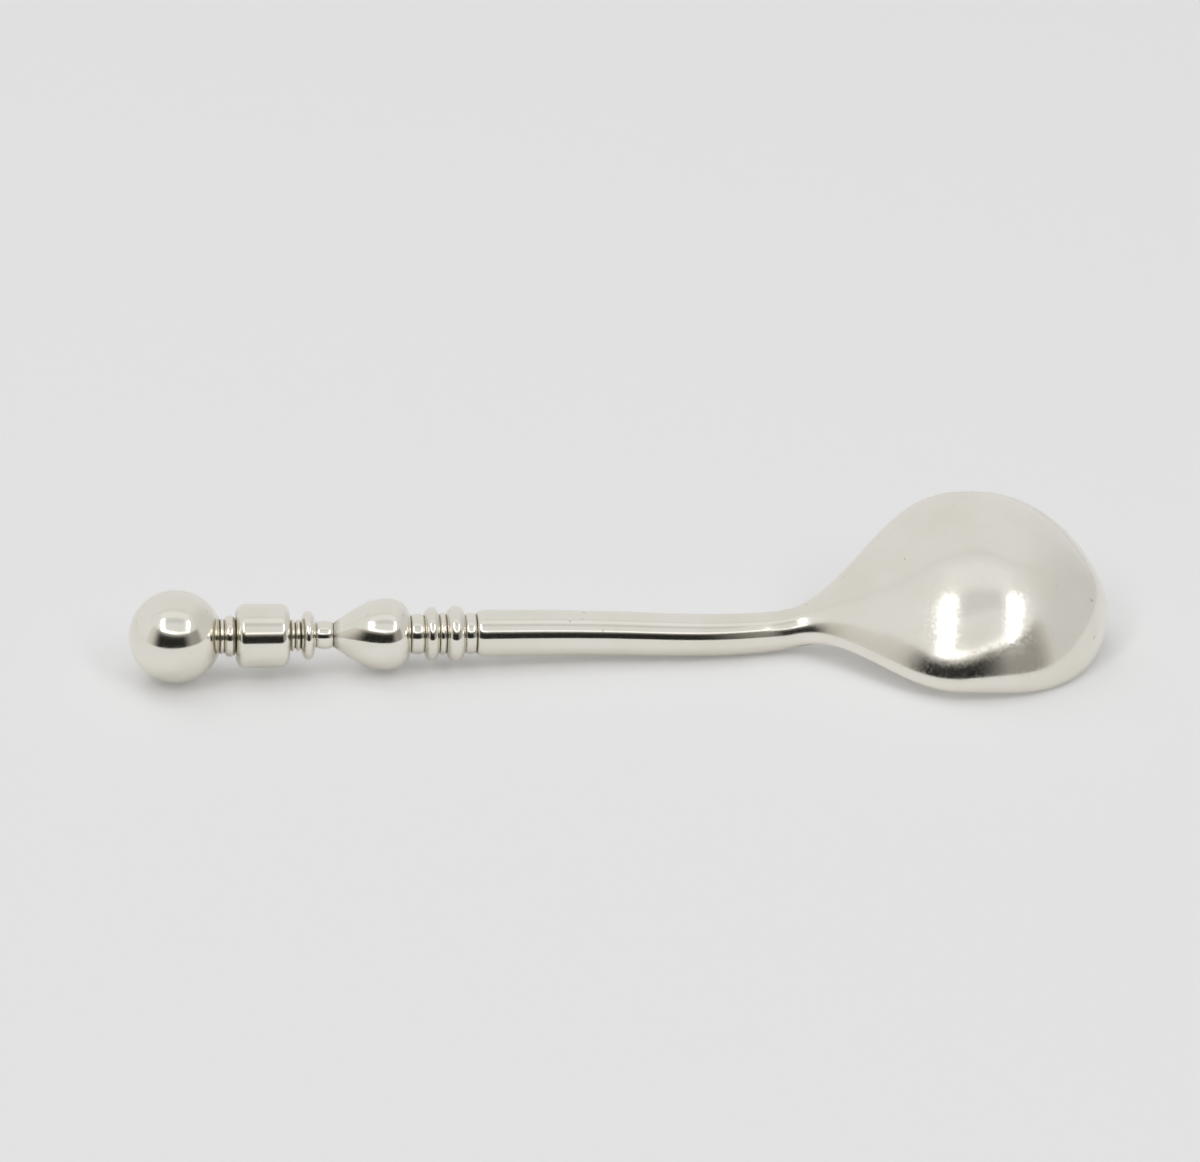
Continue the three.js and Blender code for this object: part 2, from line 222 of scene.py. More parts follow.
# Rings and beads.
# Ten small turned rings of silver, bored, threaded on the tang between the larger knops and
# soldered, so that no gap is left. Their edges are half round, with tarnish in the grooves.
SOLDER_GAP = 0.05 * MM
RING_SIDES = 96
RING_STEPS = 40
BORE_PLAY = 0.1 * MM
GROOVE_POWER = 2.0
RING_SILVER = (0.87, 0.84, 0.77)
RING_TARNISH = (0.58, 0.54, 0.46)
ring_silver = silver("ring silver", RING_SILVER, RING_TARNISH,
                     roughness=0.10, scratch_patches=7000, dent_height=0.003 * MM)


def ring_tree():
    """Nodes that turn one ring: rows of points round the stem's line, swelling from waist to edge."""
    tree = bpy.data.node_groups.new("turned ring", "GeometryNodeTree")
    sockets = tree.interface
    kinds = dict.fromkeys(("Length", "Diameter", "Waist", "Bore", "Ridges"), "NodeSocketFloat")
    kinds |= dict.fromkeys(("Middle", "Turn"), "NodeSocketVector")
    sizes = {}
    for name, kind in kinds.items():
        sizes[name] = sockets.new_socket(name, in_out="INPUT", socket_type=kind).identifier
    sockets.new_socket("Ring", in_out="OUTPUT", socket_type="NodeSocketGeometry")
    nodes, links = tree.nodes, tree.links
    given = nodes.new("NodeGroupInput")
    made = nodes.new("NodeGroupOutput")

    def maths(operation, *values):
        node = nodes.new("ShaderNodeMath")
        node.operation = operation
        for socket, value in zip(node.inputs, values):
            if isinstance(value, (int, float)):
                socket.default_value = value
            else:
                links.new(value, socket)
        return node.outputs["Value"]

    # The first column and the last two lie on the bore, and the others go over the ring's edge.
    columns = RING_STEPS + 4
    last_column = columns - 1
    grid = nodes.new("GeometryNodeMeshGrid")
    grid.inputs["Size X"].default_value = 1
    grid.inputs["Size Y"].default_value = 1
    grid.inputs["Vertices X"].default_value = columns
    grid.inputs["Vertices Y"].default_value = RING_SIDES + 1
    place = nodes.new("GeometryNodeInputPosition")
    parts = nodes.new("ShaderNodeSeparateXYZ")
    links.new(place.outputs["Position"], parts.inputs["Vector"])
    column = maths("MULTIPLY", maths("ADD", parts.outputs["X"], 0.5), last_column)
    angle = maths("MULTIPLY", maths("ADD", parts.outputs["Y"], 0.5), 2 * math.pi)

    share = maths("DIVIDE", maths("SUBTRACT", column, 1), RING_STEPS)
    share = maths("MINIMUM", maths("MAXIMUM", share, 0), 1)
    on_bore = maths("ADD", maths("LESS_THAN", column, 0.5),
                    maths("GREATER_THAN", column, last_column - 1.5))
    on_bore = maths("MINIMUM", on_bore, 1)
    back_at_start = maths("GREATER_THAN", column, last_column - 0.5)

    ridge = maths("MULTIPLY", share, given.outputs["Ridges"])
    passed = maths("MINIMUM", maths("FLOOR", ridge), maths("SUBTRACT", given.outputs["Ridges"], 1))
    over = maths("MULTIPLY", maths("SUBTRACT", ridge, passed), math.pi)
    half_turn = maths("MULTIPLY", maths("SUBTRACT", 1, maths("COSINE", over)), 0.5)
    travelled = maths("DIVIDE", maths("ADD", passed, half_turn), given.outputs["Ridges"])
    travelled = maths("MULTIPLY", travelled, maths("SUBTRACT", 1, back_at_start))
    along = maths("MULTIPLY", maths("SUBTRACT", travelled, 0.5), given.outputs["Length"])
    bulge = maths("MAXIMUM", maths("SINE", over), 0)
    swell = maths("SUBTRACT", given.outputs["Diameter"], given.outputs["Waist"])
    across = maths("ADD", given.outputs["Waist"], maths("MULTIPLY", swell, bulge))
    radius = maths("MULTIPLY", across, 0.5)
    bored = maths("MULTIPLY", given.outputs["Bore"], 0.5)
    inward = maths("MULTIPLY", maths("SUBTRACT", bored, radius), on_bore)
    radius = maths("ADD", radius, inward)

    point = nodes.new("ShaderNodeCombineXYZ")
    links.new(along, point.inputs["X"])
    links.new(maths("MULTIPLY", radius, maths("COSINE", angle)), point.inputs["Y"])
    links.new(maths("MULTIPLY", radius, maths("SINE", angle)), point.inputs["Z"])
    depth = maths("POWER", maths("SUBTRACT", 1, bulge), GROOVE_POWER)

    keep = nodes.new("GeometryNodeStoreNamedAttribute")
    keep.data_type = "FLOAT"
    keep.domain = "POINT"
    keep.inputs["Name"].default_value = "groove"
    links.new(grid.outputs["Mesh"], keep.inputs["Geometry"])
    links.new(depth, keep.inputs["Value"])
    bend = nodes.new("GeometryNodeSetPosition")
    links.new(keep.outputs["Geometry"], bend.inputs["Geometry"])
    links.new(point.outputs["Vector"], bend.inputs["Position"])
    join = nodes.new("GeometryNodeMergeByDistance")
    join.inputs["Distance"].default_value = WELD_DISTANCE
    links.new(bend.outputs["Geometry"], join.inputs["Geometry"])
    set_in_place = nodes.new("GeometryNodeTransform")
    links.new(join.outputs["Geometry"], set_in_place.inputs["Geometry"])
    links.new(given.outputs["Middle"], set_in_place.inputs["Translation"])
    links.new(given.outputs["Turn"], set_in_place.inputs["Rotation"])
    realize = nodes.new("GeometryNodeRealizeInstances")
    links.new(set_in_place.outputs["Geometry"], realize.inputs["Geometry"])
    finish = nodes.new("GeometryNodeSetMaterial")
    finish.inputs["Material"].default_value = ring_silver
    links.new(realize.outputs["Geometry"], finish.inputs["Geometry"])
    links.new(finish.outputs["Geometry"], made.inputs["Ring"])
    return tree, sizes


ring_nodes, ring_sizes = ring_tree()
THICK_WAIST, SLIM_WAIST, BROAD_WAIST = 2.4, 1.75, 2.8
# Each row is the node, the ring's name, its length, diameter and waist in mm, and its ridges.
RINGS = [
    ("ball_ring", "ring_under_ball", 0.3, 2.8, THICK_WAIST, 1),
    ("ball_neck_bead", "bead_under_ball", 0.85, 3.2, THICK_WAIST, 1),
    ("barrel_ring", "ring_under_barrel", 0.8, 2.5, SLIM_WAIST, 2),
    ("disc_knop", "thin_disc", 1.1, 3.8, SLIM_WAIST, 1),
    ("pear_neck_bead", "bead_over_pear", 1.3, 2.2, SLIM_WAIST, 1),
    ("pear_ring", "ring_under_pear", 1.0, 3.15, BROAD_WAIST, 1),
    ("upper_ring", "first_broad_ring", 1.1, 4.15, BROAD_WAIST, 1),
    ("spacer_ring", "ring_between", 0.5, 3.3, BROAD_WAIST, 1),
    ("lower_ring", "second_broad_ring", 1.4, 4.3, BROAD_WAIST, 1),
    ("stem_collar", "collar_on_stem", 0.85, 3.2, BROAD_WAIST, 1),
]
ring_lengths = {node: length * MM for node, _, length, *_ in RINGS}
BORE = 2 * TANG_RADIUS + BORE_PLAY
for node, name, _, diameter, waist, ridges in RINGS:
    blank = bpy.data.objects.new(name, bpy.data.meshes.new(name))
    bpy.context.scene.collection.objects.link(blank)
    turning = blank.modifiers.new("turned ring", "NODES")
    turning.node_group = ring_nodes
    turning[ring_sizes["Length"]] = ring_lengths[node] + SOLDER_GAP
    turning[ring_sizes["Diameter"]] = diameter * MM
    turning[ring_sizes["Waist"]] = waist * MM
    turning[ring_sizes["Bore"]] = BORE
    turning[ring_sizes["Ridges"]] = float(ridges)
    turning[ring_sizes["Middle"]] = tuple(ball_centre + stem_line * along_stem(node))
    turning[ring_sizes["Turn"]] = tuple(spoon_lie.to_euler())
    evaluated = blank.evaluated_get(bpy.context.evaluated_depsgraph_get())
    mesh = bpy.data.meshes.new_from_object(evaluated)
    blank.modifiers.clear()
    shape = bmesh.new()
    shape.from_mesh(mesh)
    bmesh.ops.recalc_face_normals(shape, faces=shape.faces)
    shape.to_mesh(mesh)
    shape.free()
    mesh.shade_smooth()
    mesh.set_sharp_from_angle(angle=CREASE_ANGLE)
    blank.data = mesh
    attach(blank, "root")
    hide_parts(node)

# Barrel knop.
# A short turned cylinder of silver with flat ends and well-rounded corners, threaded on the
# tang between the ball's bead and the thin disc.
BARREL_LENGTH = 4.1 * MM
BARREL_RADIUS = 2.475 * MM
BARREL_CORNER = 0.7 * MM
BARREL_TARNISH_ANGLE = 0.6
CORNER_STEPS = 14
barrel_middle = along_stem("barrel_knop")
barrel_half = []
for step in range(CORNER_STEPS + 1):
    angle = math.pi / 2 * step / CORNER_STEPS
    from_end = BARREL_CORNER * (1 - math.cos(angle))
    radius = BARREL_RADIUS - BARREL_CORNER * (1 - math.sin(angle))
    groove = max(0, 1 - angle / BARREL_TARNISH_ANGLE)
    barrel_half.append((from_end - BARREL_LENGTH / 2, radius, groove))
barrel_profile = [(-BARREL_LENGTH / 2, 0, 1), *barrel_half]
barrel_profile += [(-along, radius, groove) for along, radius, groove in reversed(barrel_profile)]
barrel = turned_piece("barrel", [(barrel_middle + a, r, g) for a, r, g in barrel_profile])
barrel.data.materials.append(knop_silver)
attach(barrel, "root")
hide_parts("barrel_knop")

# Pear knop.
# A turned pear of silver with its thin end towards the ball. It swells by a sine curve and
# closes with a quarter of an ellipse on the ring under it.
PEAR_TIP_RADIUS = 0.925 * MM
PEAR_RADIUS = 2.8 * MM
PEAR_SEAT_RADIUS = 1.3 * MM
PEAR_SWELL_LENGTH = 4.15 * MM
PEAR_BUTT_LENGTH = 1.8 * MM
PEAR_STEPS = 40
PEAR_NECK_TARNISH = 0.12
PEAR_SEAT_TARNISH_FROM, PEAR_SEAT_TARNISH_SPAN = 1.2, 0.37
pear_start = along_stem("pear_neck_bead") + ring_lengths["pear_neck_bead"] / 2 + SOLDER_GAP
pear_profile = [(pear_start, 0, 1)]
for step in range(PEAR_STEPS):
    share = step / PEAR_STEPS
    radius = PEAR_TIP_RADIUS + (PEAR_RADIUS - PEAR_TIP_RADIUS) * math.sin(math.pi / 2 * share)
    groove = max(0, 1 - share / PEAR_NECK_TARNISH)
    pear_profile.append((pear_start + PEAR_SWELL_LENGTH * share, radius, groove))
for step in range(PEAR_STEPS + 1):
    angle = math.pi / 2 * step / PEAR_STEPS
    along = pear_start + PEAR_SWELL_LENGTH + PEAR_BUTT_LENGTH * math.sin(angle)
    radius = PEAR_SEAT_RADIUS + (PEAR_RADIUS - PEAR_SEAT_RADIUS) * math.cos(angle)
    groove = max(0, (angle - PEAR_SEAT_TARNISH_FROM) / PEAR_SEAT_TARNISH_SPAN)
    pear_profile.append((along, radius, groove))
pear_profile.append((pear_start + PEAR_SWELL_LENGTH + PEAR_BUTT_LENGTH, 0, 1))
pear = turned_piece("pear", pear_profile)
pear.data.materials.append(knop_silver)
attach(pear, "root")
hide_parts("pear_knop")

# Stem.
# A round silver rod that tapers from its shoulder to the bowl. Its thin tang runs on through
# all the beads and shows as a small disc at the end of the ball.
STEM_LENGTH = 22.3 * MM
STEM_SHOULDER_LENGTH = 0.9 * MM
STEM_SHOULDER_RADIUS = 1.55 * MM
STEM_TOP_RADIUS = 1.83 * MM
STEM_END_RADIUS = 1.6 * MM
STEM_STEPS = 60
SHOULDER_TARNISH_ANGLE = 0.5
TANG_END_TARNISH = 0.4
BOW_LENGTH = 27 * MM
BOW_DEPTH = 0.7 * MM
BOW_SKEW = 1.73
stem_silver = silver("stem silver", SILVER, TARNISH,
                     roughness=0.10, scratch_patches=5000, dent_height=0.008 * MM)
shoulder_at = along_stem("stem_collar") + ring_lengths["stem_collar"] / 2 + SOLDER_GAP
stem_end_at = shoulder_at + STEM_LENGTH
stem_profile = [(ball_pole_at, 0, 0), (ball_pole_at, TANG_RADIUS, TANG_END_TARNISH),
                (shoulder_at, TANG_RADIUS, 1)]
for step in range(CORNER_STEPS + 1):
    angle = math.pi / 2 * step / CORNER_STEPS
    along = shoulder_at + STEM_SHOULDER_LENGTH * (1 - math.cos(angle))
    radius = STEM_SHOULDER_RADIUS + (STEM_TOP_RADIUS - STEM_SHOULDER_RADIUS) * math.sin(angle)
    stem_profile.append((along, radius, max(0, 1 - angle / SHOULDER_TARNISH_ANGLE)))
for step in range(1, STEM_STEPS + 1):
    share = step / STEM_STEPS
    along = shoulder_at + STEM_SHOULDER_LENGTH + (STEM_LENGTH - STEM_SHOULDER_LENGTH) * share
    stem_profile.append((along, STEM_TOP_RADIUS + (STEM_END_RADIUS - STEM_TOP_RADIUS) * share, 0))
stem_profile.append((stem_end_at, 0, 0))
stem = turned_piece("tapered_stem", stem_profile)


def bow_to_near_side(piece):
    """Bows the rod and the bowl's neck a little towards the near side, as bent by hand."""
    for point in piece.data.vertices:
        from_shoulder = (point.co - ball_centre).dot(stem_line) - shoulder_at
        share = min(max(from_shoulder / BOW_LENGTH, 0), 1)
        point.co.y -= BOW_DEPTH * math.sin(math.pi * share ** BOW_SKEW) ** 2


bow_to_near_side(stem)
stem.data.materials.append(stem_silver)
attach(stem, "root")
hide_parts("stem")

# Bowl.
# An egg-shaped bowl dished from silver sheet. Its round neck is soldered to the stem's end, its
# rim arches at the sides and lifts to the tip, and it lies with its back up on its near rim.
NECK_LENGTH = 2.0 * MM
FLARE_LENGTH = 14.62 * MM
TIP_LENGTH = 10.21 * MM
BOWL_LENGTH = FLARE_LENGTH + TIP_LENGTH
BOWL_HALF_WIDTH = 8.94 * MM
CROWN_AT = 16.1 * MM
BOWL_DEPTH = 4.33 * MM
RIM_ARCH = 4.03 * MM
TIP_LIFT = 2.1 * MM
BOWL_WALL = 0.9 * MM
RIM_ROUND = 0.22 * MM
KEEL_END_AT = 4.8 * MM
THROAT_AT = 4.6 * MM
THROAT_ROUND = 4.5 * MM
# Powers of the curves that give the outline, the back's height and the section across the bowl.
FLARE_START_POWER, FLARE_END_POWER = 2.08, 3.87
TIP_RUN_POWER, TIP_FALL_POWER = 2.3, 0.56
CROWN_START_POWER, CROWN_RISE_POWER = 0.78, 4.26
CROWN_RUN_POWER, CROWN_FALL_POWER = 3.6, 0.4
ROUND_SECTION_POWER, BOWL_SECTION_POWER = 0.5, 0.44
FLANK_DROP = 0.22
RIM_ROUND_SHARE = 0.4
BOWL_SILVER = (0.88, 0.852, 0.785)
flare_at = stem_end_at + SOLDER_GAP + NECK_LENGTH


def smooth_step(value, start, end):
    """Rises softly from 0 at the start to 1 at the end."""
    share = min(max((value - start) / (end - start), 0), 1)
    return share * share * (3 - 2 * share)


def half_width_at(along):
    """The bowl flares from the neck to its full width and closes in a round tip."""
    if along <= FLARE_LENGTH:
        share = max(along, 0) / FLARE_LENGTH
        rise = 1 - (1 - share ** FLARE_START_POWER) ** FLARE_END_POWER
        return STEM_END_RADIUS + (BOWL_HALF_WIDTH - STEM_END_RADIUS) * rise
    run = min((along - FLARE_LENGTH) / TIP_LENGTH, 1)
    return BOWL_HALF_WIDTH * (1 - run ** TIP_RUN_POWER) ** TIP_FALL_POWER


def crown_height_at(along):
    """The back's height over the rim, which grows from the neck to the crown and ends at the tip."""
    if along <= CROWN_AT:
        share = max(along, 0) / CROWN_AT
        rise = math.sin(math.pi / 2 * share ** CROWN_START_POWER) ** CROWN_RISE_POWER
        return STEM_END_RADIUS + (BOWL_DEPTH - STEM_END_RADIUS) * rise
    run = min((along - CROWN_AT) / (BOWL_LENGTH - CROWN_AT), 1)
    return BOWL_DEPTH * (1 - run ** CROWN_RUN_POWER) ** CROWN_FALL_POWER


def rim_height_at(along):
    """The rim is level at the stem, bends up through the neck, arches and lifts to the tip."""
    bend = min(max((along + NECK_LENGTH) / (2 * NECK_LENGTH), 0), 1)
    risen = along if along > NECK_LENGTH else NECK_LENGTH * (2 * bend ** 3 - bend ** 4)
    share = risen / BOWL_LENGTH
    return RIM_ARCH * math.sin(math.pi * share) + TIP_LIFT * share


def keel_depth_at(along):
    """The rod's lower half runs on under the neck and dies away in the bowl."""
    return STEM_END_RADIUS * (1 - smooth_step(along, -NECK_LENGTH, KEEL_END_AT))


def section_height(across, fullness):
    """Share of the crown's height: half round in the neck, with flatter flanks in the bowl."""
    power = ROUND_SECTION_POWER + (BOWL_SECTION_POWER - ROUND_SECTION_POWER) * fullness
    drop = 1 - FLANK_DROP * fullness * across * across
    return drop * max(1 - across * across, 0) ** power


OUTSIDE_STEPS, EDGE_STEPS, UNDER_STEPS, INSIDE_STEPS = 96, 5, 12, 72


def bowl_section(along):
    """One closed section of the bowl: over its back, round one rim, through the hollow and back."""
    rim, crown, width = rim_height_at(along), crown_height_at(along), half_width_at(along)
    keel = keel_depth_at(along)
    fullness = smooth_step(along, 0, FLARE_LENGTH)
    edge = min(RIM_ROUND * (1 - keel / STEM_END_RADIUS), RIM_ROUND_SHARE * min(crown, width))
    short_of_full = min(max(1 - (along - THROAT_AT) / THROAT_ROUND, 0), 1)
    throat = math.sqrt(1 - short_of_full * short_of_full)
    hollow_width = max(throat * (width - BOWL_WALL), 0)
    hollow_crown = max(throat * (crown - BOWL_WALL), 0)
    points = []
    for step in range(OUTSIDE_STEPS + 1):
        across = -math.cos(math.pi * step / OUTSIDE_STEPS)
        height = edge + (crown - edge) * section_height(across, fullness)
        points.append((width * across, rim + height))
    rim_side = []
    for step in range(1, EDGE_STEPS + 1):
        angle = math.pi / 2 * step / EDGE_STEPS
        rim_side.append((width - edge * (1 - math.cos(angle)), edge * (1 - math.sin(angle))))
    for step in range(1, UNDER_STEPS + 1):
        turn = math.pi / 2 * (1 - step / UNDER_STEPS)
        inner = hollow_width + (width - edge - hollow_width) * math.sin(turn)
        drop = keel * math.sqrt(max(1 - (inner / width) ** 2, 0))
        rim_side.append((inner, -drop))
    points += [(across, rim + height) for across, height in rim_side]
    for step in range(1, INSIDE_STEPS):
        across = math.cos(math.pi * step / INSIDE_STEPS)
        height = hollow_crown * section_height(across, fullness)
        drop = keel * math.sqrt(max(1 - (hollow_width * across / width) ** 2, 0))
        points.append((hollow_width * across, rim + height - drop))
    points += [(-across, rim + height) for across, height in reversed(rim_side)]
    return points


NECK_STATIONS, FLARE_STATIONS, TIP_STATIONS = 10, 70, 70
stations = [-SOLDER_GAP - NECK_LENGTH * (1 - i / NECK_STATIONS) for i in range(NECK_STATIONS)]
stations += [FLARE_LENGTH * i / FLARE_STATIONS for i in range(FLARE_STATIONS)]
stations += [FLARE_LENGTH + TIP_LENGTH * math.sin(math.pi / 2 * i / TIP_STATIONS)
             for i in range(TIP_STATIONS)]
bowl_points, bowl_faces = [], []
for along in stations:
    bowl_points += [(flare_at + along, y, z) for y, z in bowl_section(along)]
ring_count = len(bowl_section(0))
for row in range(len(stations) - 1):
    for column in range(ring_count):
        following = (column + 1) % ring_count
        bowl_faces.append((row * ring_count + column, row * ring_count + following,
                           (row + 1) * ring_count + following, (row + 1) * ring_count + column))
joint_middle = len(bowl_points)
bowl_points.append((stem_end_at, 0, 0))
bowl_tip = len(bowl_points)
bowl_points.append((flare_at + BOWL_LENGTH, 0, rim_height_at(BOWL_LENGTH)))
last_row = (len(stations) - 1) * ring_count
for column in range(ring_count):
    following = (column + 1) % ring_count
    bowl_faces.append((joint_middle, following, column))
    bowl_faces.append((bowl_tip, last_row + column, last_row + following))

# The spoon has rolled over until its near rim meets the table.
ROLL_HALVINGS, RIM_STEPS = 40, 200
clear_roll, touching_roll = 0.0, math.pi / 3
pitch_sine = -stem_line.z
pitch_cosine = stem_line.x
rim_places = [BOWL_LENGTH * step / RIM_STEPS for step in range(RIM_STEPS + 1)]
for _ in range(ROLL_HALVINGS):
    roll = (clear_roll + touching_roll) / 2
    lowest = min(
        (rim_height_at(along) * math.cos(roll) - half_width_at(along) * math.sin(roll)) * pitch_cosine
        - (flare_at + along) * pitch_sine
        for along in rim_places)
    if ball_centre.z + lowest > 0:
        clear_roll = roll
    else:
        touching_roll = roll
bowl_silver = silver("bowl silver", BOWL_SILVER, TARNISH,
                     roughness=0.16, scratch_patches=4000, dent_height=0.022 * MM)
bowl = silver_piece("dished_bowl", bowl_points, bowl_faces, [0.0] * len(bowl_points),
                    Matrix.Rotation(clear_roll, 4, "X"))
bow_to_near_side(bowl)
bowl.data.materials.append(bowl_silver)
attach(bowl, "root")
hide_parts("bowl")

# Table.
# A plain pale table top with a matt coat, on which the spoon lies loose. It is so wide that its
# edge is never in view.
TABLE_HALF = 3.0
TABLE_PAINT = (0.86, 0.86, 0.86, 1)
TABLE_ROUGHNESS = 0.9
TABLE_SHINE = 0.1
table_corners = [(x * TABLE_HALF, y * TABLE_HALF, 0) for x, y in ((-1, -1), (1, -1), (1, 1), (-1, 1))]
table_mesh = bpy.data.meshes.new("table")
table_mesh.from_pydata(table_corners, [], [(0, 1, 2, 3)])
table = bpy.data.objects.new("table", table_mesh)
bpy.context.scene.collection.objects.link(table)
pale = bpy.data.materials.new("pale table")
pale.use_nodes = True
paint = pale.node_tree.nodes["Principled BSDF"]
paint.inputs["Base Color"].default_value = TABLE_PAINT
paint.inputs["Roughness"].default_value = TABLE_ROUGHNESS
paint.inputs["Specular IOR Level"].default_value = TABLE_SHINE
table_mesh.materials.append(pale)

# Camera.
# It stands at the photograph's angle: in front of the spoon, raised, and a little to the ball's
# side. The ball's foot on the table and the photograph's scale give its place.
PHOTO_WIDTH, PHOTO_HEIGHT = 1200, 1162
CAMERA_RISE = math.radians(27.47)
CAMERA_SWING = math.radians(6.11)
CAMERA_REACH_PX = 5500
MM_PER_PX = 0.0772
BALL_FOOT_PX = (177.3, 677.8)
SENSOR_WIDTH = 36
right = Vector((math.cos(CAMERA_SWING), -math.sin(CAMERA_SWING), 0))
ahead = Vector((math.sin(CAMERA_SWING) * math.cos(CAMERA_RISE),
                math.cos(CAMERA_SWING) * math.cos(CAMERA_RISE), -math.sin(CAMERA_RISE)))
up = right.cross(ahead)
px = MM_PER_PX * MM
ball_foot = Vector((ball_centre.x, ball_centre.y, 0))
eye = (ball_foot - ahead * CAMERA_REACH_PX * px
       - right * (BALL_FOOT_PX[0] - PHOTO_WIDTH / 2) * px
       - up * (PHOTO_HEIGHT / 2 - BALL_FOOT_PX[1]) * px)
camera = bpy.data.objects.new("camera", bpy.data.cameras.new("camera"))
camera.data.sensor_width = SENSOR_WIDTH
camera.data.lens = SENSOR_WIDTH * CAMERA_REACH_PX / PHOTO_WIDTH
camera.data.clip_start, camera.data.clip_end = 0.01, 20
camera.matrix_world = Matrix.Translation(eye) @ Matrix((right, up, -ahead)).transposed().to_4x4()
bpy.context.scene.collection.objects.link(camera)
bpy.context.scene.camera = camera

# Light.
# A white tent all round, with a shadowless lamp over it, a soft lamp behind the spoon and two tall
# lamps beside the camera. The dark opening at the camera, the bright flap over it and the panels
# over those are cards that show only in the silver.
TENT_SEEN = 0.77
TENT_RIGHT = 0.64
RIGHT_SHADE = (0.45, 0.9)
TENT_GIVEN = 0.23
WHITE = (1, 1, 1)
SPOON_MIDDLE = Vector((0, 0, 4 * MM))
world = bpy.data.worlds.new("white tent")
world.use_nodes = True
tent_nodes, tent_links = world.node_tree.nodes, world.node_tree.links
given_light = tent_nodes["Background"]
given_light.inputs["Color"].default_value = (*WHITE, 1)
given_light.inputs["Strength"].default_value = TENT_GIVEN
seen_light = tent_nodes.new("ShaderNodeBackground")
seen_light.inputs["Color"].default_value = (*WHITE, 1)
outwards = tent_nodes.new("ShaderNodeTexCoord")
sideways = tent_nodes.new("ShaderNodeSeparateXYZ")
tent_links.new(outwards.outputs["Generated"], sideways.inputs["Vector"])
side_shade = tent_nodes.new("ShaderNodeMapRange")
side_shade.interpolation_type = "SMOOTHSTEP"
side_shade.inputs["From Min"].default_value = RIGHT_SHADE[0]
side_shade.inputs["From Max"].default_value = RIGHT_SHADE[1]
side_shade.inputs["To Min"].default_value = TENT_SEEN
side_shade.inputs["To Max"].default_value = TENT_RIGHT
tent_links.new(sideways.outputs["X"], side_shade.inputs["Value"])
tent_links.new(side_shade.outputs["Result"], seen_light.inputs["Strength"])
ray = tent_nodes.new("ShaderNodeLightPath")
either = tent_nodes.new("ShaderNodeMath")
either.operation = "MAXIMUM"
tent_links.new(ray.outputs["Is Camera Ray"], either.inputs[0])
tent_links.new(ray.outputs["Is Glossy Ray"], either.inputs[1])
chosen = tent_nodes.new("ShaderNodeMixShader")
tent_links.new(either.outputs["Value"], chosen.inputs["Fac"])
tent_links.new(given_light.outputs["Background"], chosen.inputs[1])
tent_links.new(seen_light.outputs["Background"], chosen.inputs[2])
tent_links.new(chosen.outputs["Shader"], tent_nodes["World Output"].inputs["Surface"])
bpy.context.scene.world = world

LAMP_REACH = 1.2
TALL_LAMP_STRENGTH = 4.2
TOWARDS_CAMERA = 0.74
ROOF_SIDE, ROOF_STRENGTH = 1.4, 1.08
BACK_SIDE, BACK_STRENGTH = 0.9, 0.7
over_spoon = Vector((0.05, -0.08, 1)).normalized()
behind_spoon = Vector((-0.4, 0.7, 1)).normalized()


def soft_lamp(name, direction, width, height, strength):
    """A lamp that faces the spoon, with its long side square to the camera's right."""
    long_side = right.cross(direction).normalized()
    turned = Matrix((long_side.cross(direction), long_side, direction)).transposed().to_4x4()
    turned.translation = SPOON_MIDDLE + direction * LAMP_REACH
    light = bpy.data.lights.new(name, "AREA")
    light.shape = "RECTANGLE"
    light.size, light.size_y = width, height
    # An area lamp's brightness is a quarter of its power for each square metre.
    light.energy = 4 * strength * width * height
    lamp = bpy.data.objects.new(name, light)
    lamp.matrix_world = turned
    bpy.context.scene.collection.objects.link(lamp)
    lamp.visible_camera = False
    return lamp


# Each row is a tall lamp, its shares to the camera's right and upwards, its width and its height.
for name, rightwards, upwards, width, height in (("left lamp", -0.465, 0.44, 0.15, 0.60),
                                                 ("right lamp", 0.53, 0.38, 0.13, 0.66)):
    towards_lamp = (right * rightwards + up * upwards - ahead * TOWARDS_CAMERA).normalized()
    soft_lamp(name, towards_lamp, width, height, TALL_LAMP_STRENGTH)
roof = soft_lamp("roof lamp", over_spoon, ROOF_SIDE, ROOF_SIDE, ROOF_STRENGTH)
roof.visible_glossy = False
roof.data.use_shadow = False
back = soft_lamp("back lamp", behind_spoon, BACK_SIDE, BACK_SIDE, BACK_STRENGTH)
back.visible_glossy = False


def seen_card(name, rows, tint):
    """A card of rows of points with a glow each, seen only in the silver."""
    points = [point for row in rows for point, _ in row]
    width = len(rows[0])
    faces = [(r * width + c, r * width + c + 1, (r + 1) * width + c + 1, (r + 1) * width + c)
             for r in range(len(rows) - 1) for c in range(width - 1)]
    mesh = bpy.data.meshes.new(name)
    mesh.from_pydata(points, [], faces)
    mesh.attributes.new("glow", "FLOAT", "POINT").data.foreach_set(
        "value", [value for row in rows for _, value in row])
    material = bpy.data.materials.new(name)
    material.use_nodes = True
    nodes, links = material.node_tree.nodes, material.node_tree.links
    shader = nodes["Principled BSDF"]
    shader.inputs["Base Color"].default_value = (0, 0, 0, 1)
    shader.inputs["Roughness"].default_value = 1.0
    shader.inputs["Specular IOR Level"].default_value = 0.0
    shader.inputs["Emission Color"].default_value = (*tint, 1)
    glow = nodes.new("ShaderNodeAttribute")
    glow.attribute_name = "glow"
    links.new(glow.outputs["Fac"], shader.inputs["Emission Strength"])
    mesh.materials.append(material)
    card = bpy.data.objects.new(name, mesh)
    bpy.context.scene.collection.objects.link(card)
    card.visible_camera = False
    card.visible_diffuse = False
    card.visible_shadow = False
    card.visible_transmission = False


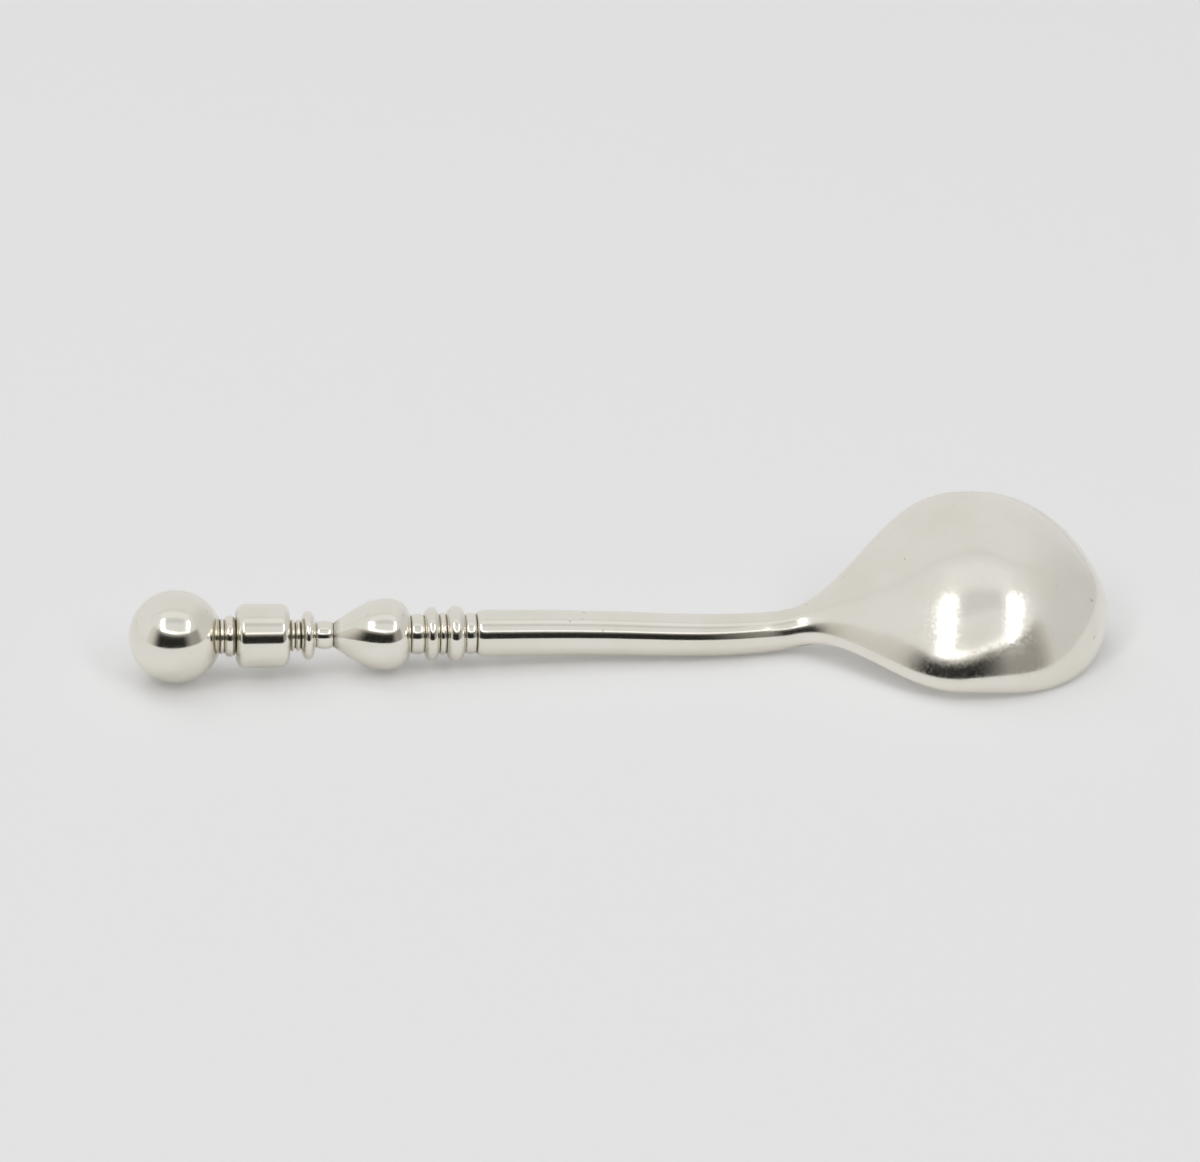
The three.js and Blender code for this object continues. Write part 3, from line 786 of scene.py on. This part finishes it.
def round_spoon(bearing, rise, reach):
    """A point at a bearing from the camera's side and at a rise over the table, in degrees."""
    towards_camera = Vector((-ahead.x, -ahead.y, 0)).normalized()
    turn = math.radians(bearing)
    foot = (right * math.sin(turn) + towards_camera * math.cos(turn)) * reach
    return tuple(foot + Vector((0, 0, reach * math.tan(math.radians(rise)))))


# The opening is dark low down and fades out at its top. Each row is a rise and its glow.
OPENING_REACH = 0.2
OPENING_TINT = (1.0, 0.96, 0.90)
OPENING_BEARINGS = range(-72, 78, 6)
OPENING_FADE = ((0, 0.02), (20, 0.02), (26, 0.05), (31, 0.30), (34, 0.55))
# Both of its ends are lit. Each row is a side, the bearings over which it lightens, and by how much.
OPENING_ENDS = ((1, 12, 40, 0.32), (1, 60, 75, 0.4), (-1, 42, 66, 0.66))
opening_rows = []
for rise, fade in OPENING_FADE:
    row = []
    for bearing in OPENING_BEARINGS:
        lit = sum(much * smooth_step(side * bearing, start, end)
                  for side, start, end, much in OPENING_ENDS)
        row.append((round_spoon(bearing, rise, OPENING_REACH), max(fade, lit)))
    opening_rows.append(row)
seen_card("dark_opening", opening_rows, OPENING_TINT)

# The flap glows a little more on the ball's side.
FLAP_REACH = 0.19
FLAP_BEARINGS, FLAP_RISES = range(-42, 44, 3), (34, 40)
FLAP_GLOW, BALL_SIDE_GLOW = 1.2, 0.5
BALL_SIDE_START, BALL_SIDE_END = -2, 8
flap_rows = []
for rise in FLAP_RISES:
    row = []
    for bearing in FLAP_BEARINGS:
        glow = FLAP_GLOW + BALL_SIDE_GLOW * smooth_step(-bearing, BALL_SIDE_START, BALL_SIDE_END)
        row.append((round_spoon(bearing, rise, FLAP_REACH), glow))
    flap_rows.append(row)
seen_card("bright_flap", flap_rows, WHITE)

PANEL_REACH = 1.3
PANEL_STEPS = 8
# Over the lamps the tent has a grey panel, a brighter strip and the seam of its roof. Each row is
# the panel, its lower and upper rise, half its width as a share of its reach, and its glow.
PANELS = [
    ("grey_panel", 34, 46, 0.34, 0.65),
    ("bright_strip", 49, 64, 0.50, 0.84),
    ("roof_seam", 70, 73, 0.80, 0.68),
]


def over_camera(rightwards, rise):
    """A point at a share to the camera's right and at a rise over the camera's line, in degrees."""
    forwards = math.sqrt(1 - rightwards * rightwards)
    turn = math.radians(rise)
    direction = right * rightwards + (up * math.sin(turn) - ahead * math.cos(turn)) * forwards
    return tuple(SPOON_MIDDLE + direction * PANEL_REACH)


for name, low, high, half_width, glow in PANELS:
    rows = []
    for rise in (low, high):
        shares = [half_width * step / PANEL_STEPS for step in range(-PANEL_STEPS, PANEL_STEPS + 1)]
        rows.append([(over_camera(share, rise), glow) for share in shares])
    seen_card(name, rows, WHITE)

bpy.context.scene.view_settings.view_transform = "Standard"
